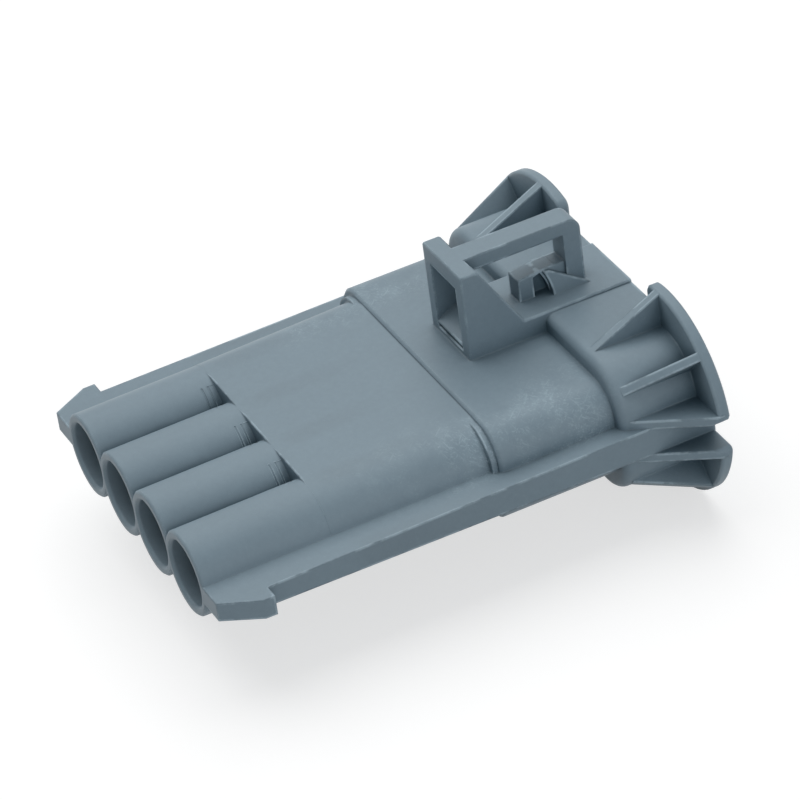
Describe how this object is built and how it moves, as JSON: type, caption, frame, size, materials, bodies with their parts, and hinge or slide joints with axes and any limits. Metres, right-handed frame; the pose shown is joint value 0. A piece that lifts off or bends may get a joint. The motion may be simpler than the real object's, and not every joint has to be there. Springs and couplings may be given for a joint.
{
  "type": "sealed automotive connector",
  "caption": "Sealed in-line wire connector: round wire tubes, side rails, a stepped shroud with flared corner flanges and a latch bridge on top.",
  "frame": {"origin": "centre of the wire face, on the web between the two middle tubes", "axes": "+X across the row of tubes, +Y from the wire face to the mating end, +Z towards the latch bridge"},
  "size_m": [0.0446, 0.052, 0.0255],
  "materials": {
    "housing": "satin, lightly scuffed",
    "seal": "satin silicone",
    "contact": "tin plate",
    "lock": "satin"
  },
  "bodies": {
    "root": {"housing": "housing", "wire_seal_1": "seal", "wire_seal_2": "seal", "wire_seal_3": "seal", "wire_seal_4": "seal", "pin_contact_1": "contact", "pin_contact_2": "contact", "pin_contact_3": "contact", "pin_contact_4": "contact", "contact_lock": "lock"}
  },
  "joints": []
}
